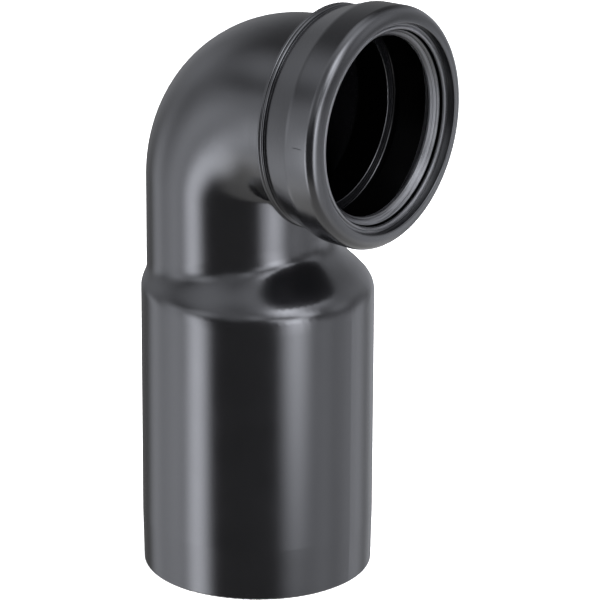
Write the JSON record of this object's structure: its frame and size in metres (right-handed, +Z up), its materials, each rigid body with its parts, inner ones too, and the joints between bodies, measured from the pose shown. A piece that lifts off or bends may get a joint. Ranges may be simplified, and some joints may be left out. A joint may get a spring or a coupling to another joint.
{
  "type": "toilet pan connector",
  "caption": "Right-angle pan connector: a large drain spigot, an offset smaller neck and bend, and a welded socket with a rubber lip seal.",
  "frame": {"origin": "centre of the drain spigot's lower end, in the plane that it stands on", "axes": "+Z up along the drain spigot's axis, +X along the pan socket's axis and out of its mouth"},
  "size_m": [0.1316, 0.1134, 0.2858],
  "materials": {
    "black_pe": "semi-gloss moulded polyethylene",
    "black_rubber": "smooth moulded rubber"
  },
  "bodies": {
    "root": {"pan_bend": "black_pe", "seal_socket": "black_pe", "lip_seal": "black_rubber"}
  },
  "joints": []
}
